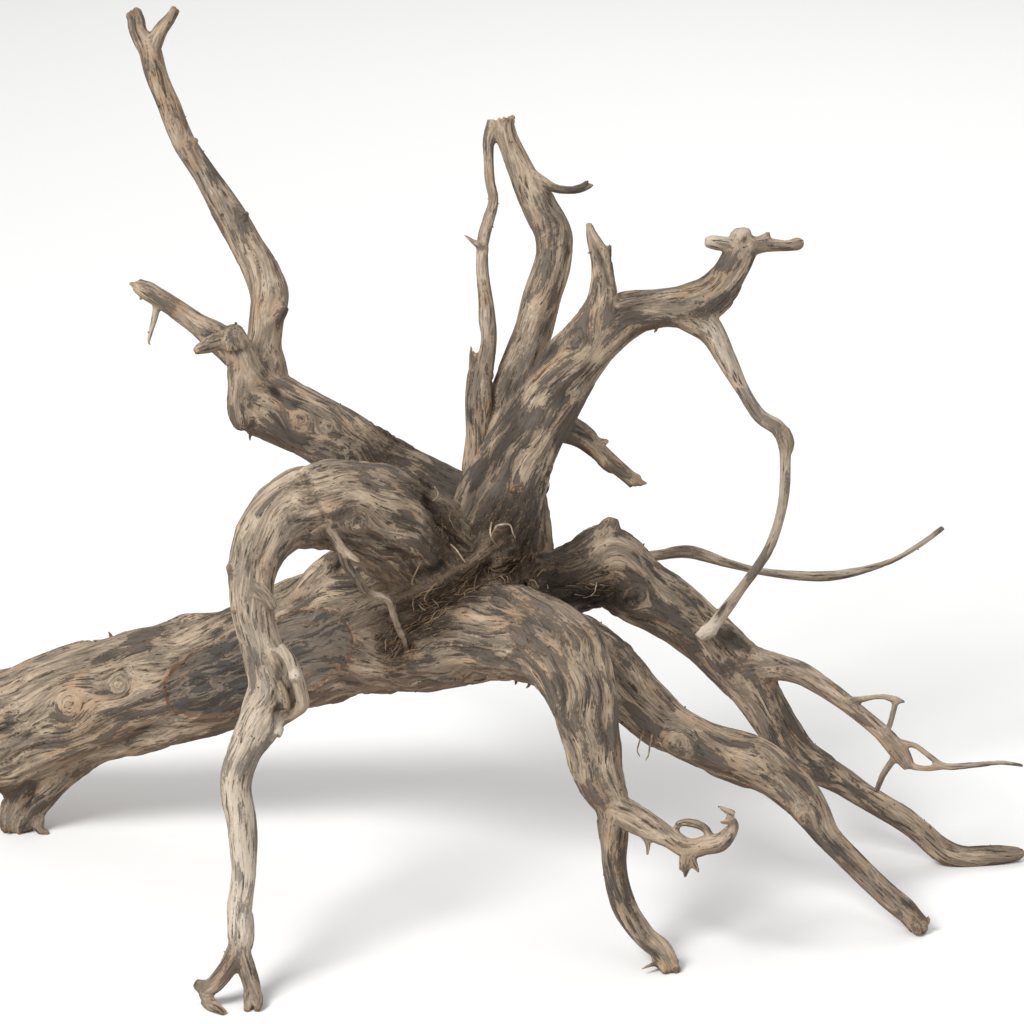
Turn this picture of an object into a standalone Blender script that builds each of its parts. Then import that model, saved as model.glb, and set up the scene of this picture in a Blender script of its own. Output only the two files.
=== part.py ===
"""One piece of driftwood: a washed-out root stock lying on its side.

A short, thick trunk runs off to the left and splits into a foot at its end. At the other end
the root crown throws out its limbs: two arching front roots and two long right-hand roots reach the
ground, and the broken limbs above stand free. It grew as one piece, so it is one solid.

Frame: metres, +Z up, X from the trunk's end to the roots' tips, the side with the front roots
towards -Y. The origin is on the ground, at the middle of the box round the whole piece.
"""

import bmesh
import bpy

MM = 0.001
VOXEL = 1.6 * MM  # the grid on which the limbs are fused into one skin
FUSE_SMOOTHING = 6  # passes that turn the creases between limbs into flowing crotches
SKIN_TRIANGLES = 9800
CURVE_STEPS = 6  # spans between two stations of a limb
RING_STEPS = 6  # the curve's bevel resolution

WEATHERED_WOOD = (0.30, 0.24, 0.18, 1.0)

# Each limb is a round, tapering run of wood through its stations: (x, y, z, radius), in millimetres.
# A limb starts inside the one that it grew from.
LIMBS = {
    "trunk": [
        (-413, 106, 73, 52.5), (-351, 104, 96, 51), (-285, 101, 117, 50.5), (-236, 97, 130, 50),
        (-195, 94, 145, 50), (-153, 86, 163, 52), (-116, 77, 181, 56), (-75, 63, 194, 57.5),
        (-27, 43, 211, 53), (13, 30, 234, 38.5),
    ],
    "foot": [
        (-306, 92, 98, 28), (-335, 91, 71, 22), (-354, 89, 50, 17), (-372, 88, 28, 15.5),
        (-383, 88, 12, 14), (-388, 88, 0, 11.5),
    ],
    "shoulder": [
        (-11, 29, 232, 40), (-46, 18, 270, 42), (-81, -1, 304, 44), (-112, -23, 321, 37),
        (-139, -41, 329, 33), (-161, -58, 325, 28), (-175, -78, 313, 23), (-183, -95, 292, 19.5),
        (-182, -112, 268, 16.5), (-174, -129, 242, 16), (-166, -145, 217, 19),
        (-173, -157, 199, 18.5), (-187, -170, 176, 14.5), (-194, -183, 152, 12.5),
        (-189, -198, 125, 12), (-187, -214, 94, 10.5), (-190, -226, 70, 10.5),
        (-189, -236, 50, 10.5), (-189, -242, 40, 9),
    ],
    "toe_a": [
        (-191, -242, 41, 8.5), (-199, -249, 28, 7.5), (-209, -255, 17, 7), (-216, -255, 11, 6),
        (-211, -260, 0, 4.5),
    ],
    "toe_b": [
        (-189, -242, 40, 7.5), (-184, -248, 26, 7.5), (-180, -251, 12, 7), (-180, -255, 2, 5.5),
    ],
    "front": [
        (-116, 58, 185, 30.5), (-71, 23, 186, 37), (-30, -3, 203, 40.5), (8, -24, 217, 39),
        (41, -49, 219, 36), (63, -74, 212, 32.5), (74, -94, 193, 27.5), (79, -109, 169, 23),
        (84, -123, 145, 20.5), (91, -132, 130, 18.5), (96, -138, 118, 15.5),
    ],
    "front_down": [
        (97, -137, 120, 14), (98, -148, 96, 11.5), (99, -160, 70, 9.5), (106, -171, 45, 10),
        (122, -181, 24, 9), (134, -186, 15, 9), (142, -191, 2, 8),
    ],
    "front_side": [
        (97, -139, 116, 13), (118, -153, 109, 11), (130, -161, 105, 9.5), (141, -169, 102, 8),
        (155, -178, 97, 8), (169, -181, 101, 7.5), (181, -185, 106, 7.5), (190, -185, 119, 4.5),
        (185, -186, 128, 2.5),
    ],
    "right_mid": [
        (9, -3, 217, 24), (45, -16, 212, 26), (73, -24, 203, 26), (95, -33, 189, 25.5),
        (115, -42, 169, 22.5), (132, -48, 154, 21.5), (149, -54, 144, 19), (166, -58, 136, 19),
        (185, -62, 130, 19.5), (206, -65, 124, 20.5), (224, -69, 116, 19), (243, -75, 101, 16.5),
        (256, -81, 87, 14), (268, -90, 70, 11), (283, -97, 56, 10.5), (298, -105, 43, 10),
        (315, -111, 28, 9.5), (330, -115, 16, 9.5), (340, -116, 4, 8.5),
    ],
    "right_far": [
        (25, 36, 231, 29), (57, 45, 232, 30.5), (80, 54, 237, 29.5), (97, 61, 241, 36),
        (120, 60, 226, 29.5), (142, 58, 208, 25.5), (171, 56, 187, 22), (192, 53, 167, 22.5),
        (211, 48, 146, 22), (226, 42, 122, 18), (248, 35, 91, 15), (268, 32, 77, 14),
        (286, 29, 67, 11.5), (302, 27, 56, 10), (318, 24, 47, 10), (335, 22, 37, 10),
        (351, 18, 25, 10), (367, 15, 12, 10.5), (384, 15, 6, 9.5), (402, 17, 6, 9),
        (421, 20, 6, 7.5), (430, 22, 6, 5.5),
    ],
    "right_up": [
        (209, 48, 158, 19.5), (233, 40, 161, 11), (251, 35, 158, 9.5), (267, 28, 151, 8.5),
        (283, 17, 143, 7.5), (300, 8, 132, 7), (315, -1, 122, 7), (329, -10, 108, 8),
        (337, -17, 98, 5),
    ],
    "back_thin": [
        (46, 85, 224, 16), (87, 113, 216, 10), (124, 136, 219, 5.5), (142, 143, 220, 4.5),
        (165, 149, 220, 5.5), (198, 153, 208, 4), (231, 156, 199, 3.5), (281, 164, 193, 4.5),
        (327, 178, 199, 2.5), (356, 190, 211, 2.5), (376, 199, 223, 2.5),
    ],
    "upper_left": [
        (-8, 65, 279, 30.5), (-39, 80, 292, 29.5), (-71, 95, 305, 28.5), (-104, 110, 320, 28),
        (-136, 125, 334, 28), (-165, 137, 346, 29), (-184, 146, 352, 29),
    ],
    "tall": [
        (-185, 149, 356, 24.5), (-182, 161, 375, 18.5), (-183, 171, 391, 14.5),
        (-181, 182, 411, 15), (-179, 191, 428, 16.5), (-186, 199, 447, 15.5),
        (-199, 208, 468, 13.5), (-213, 216, 492, 12.5), (-231, 225, 519, 10), (-248, 232, 545, 10),
        (-259, 239, 573, 10), (-270, 245, 597, 9.5), (-275, 250, 617, 9.5),
    ],
    "tall_fork_a": [
        (-275, 250, 616, 9), (-284, 253, 632, 7.5), (-286, 256, 641, 7.5), (-289, 257, 649, 5.5),
    ],
    "tall_fork_b": [
        (-274, 250, 617, 7.5), (-267, 249, 633, 6.5), (-258, 248, 645, 5), (-254, 249, 653, 3.5),
    ],
    "back_left": [
        (-184, 158, 373, 16), (-215, 181, 390, 13), (-241, 200, 402, 9.5), (-265, 217, 413, 8),
        (-280, 227, 419, 8), (-290, 233, 422, 5.5),
    ],
    "back_left_twig": [
        (-271, 223, 414, 4), (-274, 217, 400, 3.5), (-277, 213, 389, 2.5), (-279, 211, 381, 2),
    ],
    "stub_knob": [
        (-184, 142, 359, 19.5), (-194, 140, 377, 15.5), (-201, 141, 395, 13), (-207, 146, 412, 8),
    ],
    "stub_low": [
        (-201, 141, 392, 12), (-200, 134, 372, 11.5), (-200, 129, 354, 12), (-198, 126, 339, 10.5),
    ],
    "stub_side": [
        (-202, 146, 406, 7.5), (-218, 139, 405, 6.5), (-235, 132, 403, 5.5),
    ],
    "main_up": [
        (-11, 32, 231, 43), (-1, 38, 265, 40), (9, 44, 299, 35.5), (23, 52, 336, 29.5),
        (46, 61, 375, 26), (67, 71, 408, 24), (87, 77, 430, 22.5), (111, 80, 446, 18.5),
        (137, 81, 452, 15.5), (160, 81, 454, 18), (179, 84, 463, 17), (193, 89, 480, 13.5),
        (201, 94, 496, 13.5),
    ],
    "main_knob": [
        (202, 95, 498, 11), (190, 90, 502, 7), (174, 85, 506, 5),
    ],
    "main_top": [
        (201, 94, 496, 11), (200, 96, 507, 8),
    ],
    "main_tip": [
        (204, 95, 499, 9.5), (220, 99, 499, 6), (236, 103, 497, 4.5), (249, 107, 497, 5),
    ],
    "main_stub": [
        (81, 73, 431, 20.5), (90, 76, 456, 13.5), (90, 80, 474, 10.5), (90, 84, 491, 9.5),
        (85, 87, 507, 6.5), (80, 90, 518, 3),
    ],
    "hang_root": [
        (160, 79, 449, 16), (177, 70, 436, 11), (189, 57, 418, 8.5), (201, 45, 397, 6),
        (215, 36, 377, 6), (231, 31, 365, 6.5), (234, 26, 342, 4.5), (232, 21, 307, 4.5),
        (222, 22, 270, 4.5), (205, 28, 238, 4), (191, 31, 216, 5), (179, 30, 199, 5.5),
    ],
    "broken_twig": [
        (54, 70, 358, 13), (73, 74, 348, 11), (87, 79, 333, 8), (104, 82, 317, 6.5),
        (118, 84, 304, 6),
    ],
    "second_up": [
        (5, 74, 318, 24), (12, 98, 348, 19.5), (21, 120, 379, 16.5), (34, 139, 408, 15),
        (43, 155, 435, 15.5), (52, 170, 462, 15.5), (52, 181, 483, 16), (42, 190, 502, 14.5),
        (34, 196, 515, 12.5), (28, 201, 527, 11), (21, 207, 541, 9.5), (15, 213, 554, 9),
        (11, 219, 567, 9.5),
    ],
    "second_twig": [
        (27, 202, 530, 6.5), (42, 193, 524, 5), (53, 185, 520, 4), (67, 179, 521, 3.5),
        (82, 174, 524, 3),
    ],
    "loop_stub": [
        (-8, 66, 321, 13.5), (-7, 82, 345, 11.5), (-7, 97, 369, 11.5), (-7, 109, 387, 10),
        (-4, 117, 401, 7),
    ],
    "loop_root": [
        (-5, 104, 380, 8), (0, 120, 410, 7), (-1, 130, 426, 7), (-2, 140, 440, 6),
        (-4, 148, 454, 5.5), (-5, 156, 467, 5), (-4, 166, 482, 5), (0, 175, 496, 5),
        (4, 184, 510, 4.5), (1, 194, 524, 4.5), (0, 202, 539, 4.5), (0, 211, 553, 5.5),
        (5, 219, 566, 7),
    ],
    "loop_thorn": [
        (-4, 162, 477, 3.5), (-10, 161, 481, 2.5), (-16, 161, 485, 1.5),
    ],
    "back_lump": [
        (33, 69, 239, 21.5), (33, 83, 262, 19.5), (30, 93, 284, 17.5), (25, 99, 305, 17.5),
    ],
    "cross_thin": [
        (-132, -54, 341, 4.5), (-125, -62, 325, 4), (-115, -65, 303, 4), (-103, -64, 283, 4),
        (-91, -59, 267, 3.5), (-79, -52, 253, 3), (-72, -40, 232, 3), (-66, -27, 209, 2),
    ],
    "up_twig_loop": [
        (299, 9, 143, 2.5), (314, 6, 148, 2), (327, 0, 147, 2.5), (322, -7, 133, 2),
        (317, -6, 121, 2.5),
    ],
    "up_twig_down": [
        (324, -11, 102, 3), (317, -3, 86, 3), (313, 11, 66, 2.5),
    ],
    "up_thin": [
        (328, -8, 116, 3), (341, -13, 115, 2.5), (353, -19, 108, 2.5), (365, -25, 102, 3),
        (388, -29, 105, 2.5), (408, -34, 109, 2), (426, -40, 109, 1.5),
    ],
    "up_thin_b": [
        (336, -16, 99, 3), (349, -22, 99, 2.5), (365, -25, 102, 2.5),
    ],
}


def clear_scene():
    for obj in list(bpy.data.objects):
        bpy.data.objects.remove(obj)


def limb_splines(curve):
    """One smooth spline for each limb, its point radius carrying the limb's thickness."""
    for stations in LIMBS.values():
        spline = curve.splines.new("BEZIER")
        spline.bezier_points.add(len(stations) - 1)
        spline.resolution_u = CURVE_STEPS
        spline.radius_interpolation = "CARDINAL"
        for point, (x, y, z, radius) in zip(spline.bezier_points, stations):
            point.co = (x * MM, y * MM, z * MM)
            point.radius = radius * MM
            point.handle_left_type = "AUTO"
            point.handle_right_type = "AUTO"


def limbs_as_mesh():
    """All limbs as closed round tubes in one mesh, still passing through each other."""
    curve = bpy.data.curves.new("limbs", "CURVE")
    curve.dimensions = "3D"
    curve.bevel_depth = 1.0
    curve.bevel_resolution = RING_STEPS
    curve.use_fill_caps = True
    limb_splines(curve)
    guide = bpy.data.objects.new("limbs", curve)
    bpy.context.scene.collection.objects.link(guide)
    bpy.context.view_layer.update()
    mesh = bpy.data.meshes.new_from_object(guide.evaluated_get(bpy.context.evaluated_depsgraph_get()))
    bpy.data.objects.remove(guide)
    return mesh


def fused(mesh):
    """The limbs grown together: one skin on a fine grid, with its creases eased."""
    wood = bpy.data.objects.new("driftwood", mesh)
    bpy.context.scene.collection.objects.link(wood)
    remesh = wood.modifiers.new("fuse", "REMESH")
    remesh.mode = "VOXEL"
    remesh.voxel_size = VOXEL
    ease = wood.modifiers.new("ease", "SMOOTH")
    ease.factor = 0.5
    ease.iterations = FUSE_SMOOTHING
    return wood


def evaluated_mesh(wood):
    bpy.context.view_layer.update()
    return bpy.data.meshes.new_from_object(wood.evaluated_get(bpy.context.evaluated_depsgraph_get()))


def thin_out(wood):
    """Fewer, larger triangles, kept small where the wood curves tightly."""
    fine = evaluated_mesh(wood)
    wood.modifiers.clear()
    wood.data = fine
    triangles = sum(len(p.vertices) - 2 for p in fine.polygons)
    thin = wood.modifiers.new("thin_out", "DECIMATE")
    thin.ratio = SKIN_TRIANGLES / triangles
    thin.use_collapse_triangulate = True
    wood.data = evaluated_mesh(wood)
    wood.modifiers.clear()


def level_the_feet(mesh):
    """Every root tip that stands on the ground is worn flat there, at Z = 0."""
    shape = bmesh.new()
    shape.from_mesh(mesh)
    cut = bmesh.ops.bisect_plane(
        shape,
        geom=shape.verts[:] + shape.edges[:] + shape.faces[:],
        dist=1e-6,
        plane_co=(0, 0, 0),
        plane_no=(0, 0, 1),
        clear_inner=True,
    )
    rim = [e for e in cut["geom_cut"] if isinstance(e, bmesh.types.BMEdge)]
    feet = bmesh.ops.holes_fill(shape, edges=rim, sides=0)["faces"]
    bmesh.ops.triangulate(shape, faces=feet)
    shape.to_mesh(mesh)
    shape.free()


def wood_material():
    material = bpy.data.materials.new("weathered_wood")
    material.use_nodes = True
    surface = material.node_tree.nodes["Principled BSDF"]
    surface.inputs["Base Color"].default_value = WEATHERED_WOOD
    surface.inputs["Roughness"].default_value = 0.85
    surface.inputs["Metallic"].default_value = 0.0
    return material


def build():
    clear_scene()
    wood = fused(limbs_as_mesh())
    thin_out(wood)
    level_the_feet(wood.data)
    wood.data.materials.clear()
    wood.data.materials.append(wood_material())
    wood.data.shade_smooth()


build()
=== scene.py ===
"""The looks of one piece of driftwood: a washed-out root stock lying on its side.

The whole thing is one grown piece of wood. Its limbs are drawn one after another, fused into a
single skin, carved with flutes, drying cracks and bark remnants along each limb's own grain, and
finished with a weathered-wood material. Root hairs, curls, bark fibres and stubs follow.
"""

import math
import random

import bmesh
import bpy
import numpy as np
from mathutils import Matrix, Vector, noise
from mathutils.bvhtree import BVHTree


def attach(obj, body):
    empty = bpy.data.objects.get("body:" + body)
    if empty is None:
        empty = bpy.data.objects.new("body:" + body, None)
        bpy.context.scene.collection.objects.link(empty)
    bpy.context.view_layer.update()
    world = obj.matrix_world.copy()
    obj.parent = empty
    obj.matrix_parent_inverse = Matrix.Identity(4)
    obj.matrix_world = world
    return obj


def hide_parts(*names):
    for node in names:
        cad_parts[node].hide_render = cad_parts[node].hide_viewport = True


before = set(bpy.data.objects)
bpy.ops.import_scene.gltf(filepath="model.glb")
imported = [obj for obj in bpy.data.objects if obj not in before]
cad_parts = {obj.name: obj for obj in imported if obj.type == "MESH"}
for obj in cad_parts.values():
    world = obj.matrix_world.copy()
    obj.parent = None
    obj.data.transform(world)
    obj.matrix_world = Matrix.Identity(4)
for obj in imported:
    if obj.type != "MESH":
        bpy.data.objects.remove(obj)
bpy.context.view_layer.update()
MM = 0.001


# ---- Trunk --------------------------------------------------------------------------------------
# The short lower stem of a small tree, lying down, about 100 mm thick. Its far end is broken
# across, and below it a split-off foot of wood reaches the ground. Bare, water-worn wood with
# remnants of dark inner bark.

STEP = 3 * MM  # spacing of the samples along a limb's centreline
limbs = {}


class Limb:
    """One run of wood: a smooth centreline through its stations, each (x, y, z, radius) in mm."""

    def __init__(self, stations, twist=0.4):
        marks = np.array(stations, float) * MM
        ends = np.vstack([2 * marks[0] - marks[1], marks, 2 * marks[-1] - marks[-2]])
        samples = []
        for a, b, c, d in zip(ends, ends[1:], ends[2:], ends[3:]):
            count = max(2, math.ceil(np.linalg.norm((c - b)[:3]) / STEP))
            for t in np.arange(count) / count:
                samples.append(0.5 * (2 * b + (c - a) * t + (2 * a - 5 * b + 4 * c - d) * t**2
                                      + (3 * b - a - 3 * c + d) * t**3))
        samples.append(marks[-1])
        self.centre = np.array(samples)[:, :3]
        self.radius = np.array(samples)[:, 3]
        spans = np.diff(self.centre, axis=0)
        self.along = np.concatenate([[0], np.cumsum(np.linalg.norm(spans, axis=1))])
        self.frame_the_section(spans, twist)

    def frame_the_section(self, spans, twist):
        """Two axes across the limb at each sample, carried along without spinning, then twisted."""
        forward = np.vstack([spans, spans[-1:]])
        forward /= np.linalg.norm(forward, axis=1)[:, None]
        side = np.cross(forward[0], (0.0, 0.3, 1.0))
        sides = []
        for ahead in forward:
            side = side - ahead * (side @ ahead)
            side = side / np.linalg.norm(side)
            sides.append(side)
        sides = np.array(sides)
        ups = np.cross(forward, sides)
        turn = (self.along * twist * 2 * math.pi)[:, None]
        self.side = sides * np.cos(turn) + ups * np.sin(turn)
        self.up = ups * np.cos(turn) - sides * np.sin(turn)

    def section_at(self, points):
        """For each point: its place across and along this limb, and its height over the surface."""
        near = np.empty(len(points), int)
        for start in range(0, len(points), 20000):
            part = points[start:start + 20000]
            gaps = (self.centre**2).sum(1) - 2 * part @ self.centre.T
            near[start:start + 20000] = gaps.argmin(1)
        best = None
        for first in (np.maximum(near - 1, 0), np.minimum(near, len(self.centre) - 2)):
            base = self.centre[first]
            span = self.centre[first + 1] - base
            share = np.clip(((points - base) * span).sum(1) / (span**2).sum(1), 0, 1)[:, None]
            offset = points - base - share * span
            gap = np.linalg.norm(offset, axis=1)
            found = (gap, first, share, offset)
            if best is None:
                best = found
            else:
                closer = gap < best[0]
                best = tuple(np.where(closer.reshape((-1,) + (1,) * (new.ndim - 1)), new, old)
                             for new, old in zip(found, best))
        gap, first, share, offset = best
        share = share[:, 0]

        def here(values):
            t = share if values.ndim == 1 else share[:, None]
            return values[first] * (1 - t) + values[first + 1] * t

        thickness = here(self.radius)
        across = np.stack([(offset * here(self.side)).sum(1), (offset * here(self.up)).sum(1)], 1)
        return across, here(self.along), thickness, gap - thickness, here


def limb(name, *stations, bleach=0.2, char=0.5, twist=0.4, broken=False):
    """Adds a limb. bleach silvers it and char is its share of dark bark, each one value or two, for
    its start and its end; twist is in turns per metre; a broken limb ends in splinters."""
    run = Limb(stations, twist)
    run.radius = np.maximum(run.radius, 0.8 * MM)
    share = run.along / run.along[-1]
    run.bleach = np.interp(share, (0, 1), np.broadcast_to(bleach, 2))
    run.char = np.interp(share, (0, 1), np.broadcast_to(char, 2))
    run.broken = broken
    limbs[name] = run


def splinters(name, *runs):
    """Adds the short torn points of wood at a broken end, each a run of stations."""
    for number, stations in enumerate(runs, 1):
        limb(f"{name}_{number}", *stations, broken=True)


limb("trunk",
     (-413, 106, 73, 52.5), (-351, 104, 96, 51), (-285, 101, 117, 50.5), (-236, 97, 130, 50),
     (-195, 94, 145, 50), (-153, 86, 163, 52), (-116, 77, 181, 56), (-75, 63, 194, 57.5),
     (-27, 43, 211, 53), (13, 30, 234, 38.5),
     bleach=(0.15, 0.05), char=(0.45, 0.6), twist=-0.25)
limb("foot",
     (-306, 92, 98, 28), (-335, 91, 71, 22), (-354, 89, 50, 17), (-372, 88, 28, 15.5),
     (-383, 88, 12, 14), (-388, 88, 0, 11.5),
     bleach=0.05, char=0.45, broken=True)
splinters("foot_splinter",
          [(-375, 88, 30, 7), (-370, 82, 14, 6), (-369, 78, 4, 4), (-361, 76, 0, 2)],
          [(-388, 88, 30, 9), (-396, 82, 14, 7), (-396, 76, 3, 4.5)])
limb("bark_flap",
     (-158, 70, 200, 13), (-136, 67, 226, 14), (-124, 70, 241, 10), (-118, 72, 250, 5),
     bleach=0.1, char=0.6, broken=True)
limb("crown_rib",
     (-118, 34, 196, 12), (-88, 10, 224, 13), (-56, -10, 247, 13), (-28, -8, 265, 13),
     (-2, 8, 280, 12), (14, 24, 300, 10),
     bleach=0.05, char=0.45, twist=0.8)


# ---- Front roots --------------------------------------------------------------------------------
# Two stout roots arch out of the crown and stand on their tips. The left one rises into a
# shoulder, comes down as a silvery leg with a twisted burl, and ends in two clawed toes. The
# right one bends down like a knee and forks into a tip and a hooked side root.

limb("shoulder",
     (-11, 29, 232, 40), (-46, 18, 270, 42), (-81, -1, 304, 44), (-112, -23, 321, 37),
     (-139, -41, 329, 33), (-161, -58, 325, 28), (-175, -78, 313, 23), (-183, -95, 292, 19.5),
     (-182, -112, 268, 16.5), (-174, -129, 242, 16), (-166, -145, 217, 19),
     (-173, -157, 199, 18.5), (-187, -170, 176, 14.5), (-194, -183, 152, 12.5),
     (-189, -198, 125, 12), (-187, -214, 94, 10.5), (-190, -226, 70, 10.5),
     (-189, -236, 50, 10.5), (-189, -242, 40, 9),
     bleach=(0.0, 0.9), char=(0.62, 0.34), twist=0.5)
limb("leg_collar", (-178, -114, 287, 7), (-170, -123, 283, 5.5), (-165, -123, 274, 4.5), char=0.4)
limb("leg_lump", (-192, -98, 297, 11), (-198, -103, 296, 8), bleach=0.3, char=0.6)
limb("leg_burl",
     (-164, -138, 246, 8), (-156, -146, 232, 9), (-155, -150, 214, 10), (-160, -155, 198, 8),
     bleach=0.3, char=0.4, twist=4)
limb("burl_outer",
     (-160, -146, 250, 6), (-152, -154, 244, 5.5), (-147, -161, 235, 5.5),
     (-144, -163, 224, 5.5), (-142, -163, 211, 5.5), (-150, -161, 202, 4.5), (-158, -157, 196, 5),
     bleach=0.5, char=0.2, twist=4)
limb("burl_inner",
     (-166, -152, 238, 4.5), (-161, -161, 229, 4), (-156, -166, 220, 3.8),
     (-155, -167, 209, 3.8), (-160, -163, 200, 3.5),
     bleach=0.2, char=0.2, twist=4)
limb("burl_nub", (-149, -160, 233, 4.5), (-147, -168, 236, 4), (-146, -172, 237, 3),
     bleach=1, char=0.1)
limb("leg_nub", (-160, -166, 193, 4.5), (-161, -172, 188, 3.4), bleach=1, char=0.1)
limb("cross_thin", (-131, -60, 334, 4.5), (-128, -62, 327, 4.2), (-124, -64, 317, 4),
     (-115, -65, 304, 4), (-110, -63, 287, 3.8), (-101, -60, 274, 3.6), (-95, -57, 263, 3.5),
     (-78, -52, 254, 3.3), (-73, -44, 235, 3), (-66, -33, 213, 2.5), (-63, -26, 199, 2.5),
     bleach=(0.1, 0.7), char=(0.6, 0.3), twist=1.5)
limb("cross_burr", (-115, -65, 304, 3.5), (-106, -68, 297, 2.8), (-99, -70, 293, 1.6), bleach=0.5)
limb("toe_a",
     (-191, -242, 41, 8.5), (-199, -249, 28, 7.5), (-209, -255, 17, 7), (-216, -255, 11, 6),
     (-211, -260, 0, 4.5),
     bleach=0.3, char=0.6)
splinters("toe_a_claw",
          [(-215, -258, 5, 6), (-209, -266, 3, 5), (-200, -274, 2, 2.5)],
          [(-214, -255, 13, 5.5), (-221, -256, 18, 4), (-223, -256, 13, 2)])
limb("toe_b",
     (-189, -242, 40, 7.5), (-184, -248, 26, 7.5), (-180, -251, 12, 7), (-180, -255, 2, 5.5),
     bleach=0.3, char=0.5)
splinters("toe_b_claw",
          [(-182, -254, 10, 5.5), (-183, -262, 5, 4), (-184, -269, 1, 2.2)],
          [(-179, -254, 12, 5.5), (-175, -261, 6, 4), (-176, -269, 1, 2.4)])
limb("front",
     (-116, 58, 185, 30.5), (-71, 23, 186, 37), (-30, -3, 203, 40.5), (8, -24, 217, 39),
     (41, -49, 219, 36), (63, -74, 212, 32.5), (74, -94, 193, 27.5), (79, -109, 169, 23),
     (84, -123, 145, 20.5), (91, -132, 130, 18), (96, -138, 118, 14.5), (98, -143, 107, 12.2),
     (98, -148, 97, 8.5),
     bleach=(0.1, 0.3), char=(0.68, 0.5), twist=0.3)
limb("front_down",
     (97, -137, 120, 14), (98, -148, 96, 11.5), (99, -160, 70, 9.5), (106, -171, 45, 10),
     (122, -181, 24, 9), (134, -186, 15, 9), (142, -191, 2, 8),
     bleach=0.15, char=0.55, twist=0.4, broken=True)
limb("front_side",
     (97, -139, 116, 13), (118, -153, 109, 11), (130, -161, 105, 9.5), (141, -169, 102, 8),
     (155, -178, 97, 8), (169, -181, 101, 7.5), (181, -185, 106, 7.5), (190, -185, 119, 4.5),
     (185, -186, 128, 2.5),
     bleach=0.3, char=0.45)
splinters("hook_prong",
          [(190, -187, 129, 3.4), (185, -187, 132, 2.8), (177, -187, 137, 1)],
          [(191, -187, 125, 3), (185, -188, 123, 2.2), (179, -189, 124, 1)])
splinters("hook_shred",
          [(156, -181, 95, 4.5), (154, -186, 87, 3.8), (153, -190, 77, 1.2)],
          [(157, -182, 92, 4), (160, -187, 87, 2.8), (164, -190, 82, 1.2)],
          [(153, -181, 97, 4), (150, -185, 89, 2.4), (149, -188, 82, 1)])
limb("hook_loop", (146, -169, 107, 2.5), (148, -170, 114, 2.6), (157, -172, 116, 3.4),
     (168, -176, 113, 3.4), (174, -180, 104, 3), char=0.9)
limb("front_tip_twig", (135, -188, 6, 3), (126, -196, 6, 1.8), (119, -201, 5, 1), char=0.6)
limb("front_tip", (136, -186, 6, 7), (143, -192, 3, 6), (148, -197, 2, 3.5), bleach=0, broken=True)
splinters("front_tip_split", [(132, -186, 9, 6), (137, -195, 4, 4.5), (139, -200, 2, 2.2)])
limb("side_thorn", (117, -158, 105, 3.5), (124, -164, 97, 2.6), (124, -168, 86, 1.2), char=0.8)


# ---- Right-hand roots ---------------------------------------------------------------------------
# Two long roots run out to the right and lie along the ground at their tips. The back one has a
# sharp peak near the crown and throws up a side root that ends in wiry twigs. A thin, wavy root
# leaves the crown behind them.

limb("right_mid",
     (9, -3, 217, 24), (45, -16, 212, 26), (73, -24, 203, 26), (95, -33, 189, 25.5),
     (115, -42, 169, 22.5), (132, -48, 154, 21.5), (149, -54, 144, 19), (166, -58, 136, 19),
     (185, -62, 130, 19.5), (206, -65, 124, 20.5), (224, -69, 116, 19), (243, -75, 101, 16.5),
     (256, -81, 87, 14), (268, -90, 70, 11), (283, -97, 56, 10.5), (298, -105, 43, 10),
     (315, -111, 28, 9.5), (330, -115, 16, 9.5), (340, -116, 4, 8.5),
     bleach=(0.1, 0.25), char=(0.72, 0.42), twist=0.5, broken=True)
limb("right_far",
     (25, 36, 231, 29), (57, 45, 230, 28.5), (80, 54, 236, 29), (96, 60, 240, 34),
     (119, 60, 222, 28), (142, 58, 208, 25.5), (171, 56, 187, 22), (192, 53, 167, 22.5),
     (211, 48, 146, 22), (226, 42, 122, 18), (248, 35, 91, 15), (268, 32, 77, 14),
     (286, 29, 67, 11.5), (302, 27, 56, 10), (318, 24, 47, 10), (335, 22, 37, 10),
     (351, 18, 25, 10), (367, 15, 12, 10.5), (384, 15, 6, 9.5), (402, 17, 6, 9),
     (421, 20, 6, 7.5), (430, 22, 6, 5.5),
     bleach=0.1, char=(0.66, 0.55), twist=0.3, broken=True)
limb("right_peak", (84, 52, 254, 13), (94, 59, 267, 12), (98, 62, 275, 8), (100, 63, 281, 4.5),
     char=0.8)
splinters("mid_tip",
          [(333, -116, 9, 7), (341, -121, 5, 5.5), (346, -124, 3, 2.5)],
          [(337, -116, 13, 6), (344, -119, 9, 4), (349, -120, 11, 1.8)],
          [(331, -116, 11, 6), (337, -125, 5, 4), (340, -130, 2, 2)])
limb("far_tip", (423, 22, 6, 6.5), (430, 21, 6, 5.5), (434, 20, 9, 2.5), bleach=0.2, broken=True)
limb("hang_joint", (181, 28, 200, 6), (173, 28, 196, 6.5), (168, 26, 192, 4.5), bleach=1, char=0.1)
limb("right_up",
     (209, 48, 158, 19.5), (233, 40, 161, 11), (251, 35, 158, 9.5), (267, 28, 151, 8.5),
     (283, 17, 143, 7.5), (300, 8, 132, 7), (315, -1, 122, 7), (329, -10, 108, 8),
     (337, -17, 98, 5),
     bleach=0.35, char=0.35)
limb("back_thin",
     (46, 85, 224, 16), (87, 113, 216, 10), (124, 136, 219, 5.5), (142, 143, 220, 4.5),
     (165, 149, 220, 5.5), (198, 153, 208, 4), (231, 156, 199, 3.5), (281, 164, 193, 4.5),
     (327, 178, 199, 2.5), (356, 190, 211, 2.5), (376, 199, 223, 2.5),
     bleach=0.5, char=0.4, twist=1.5)
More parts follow.
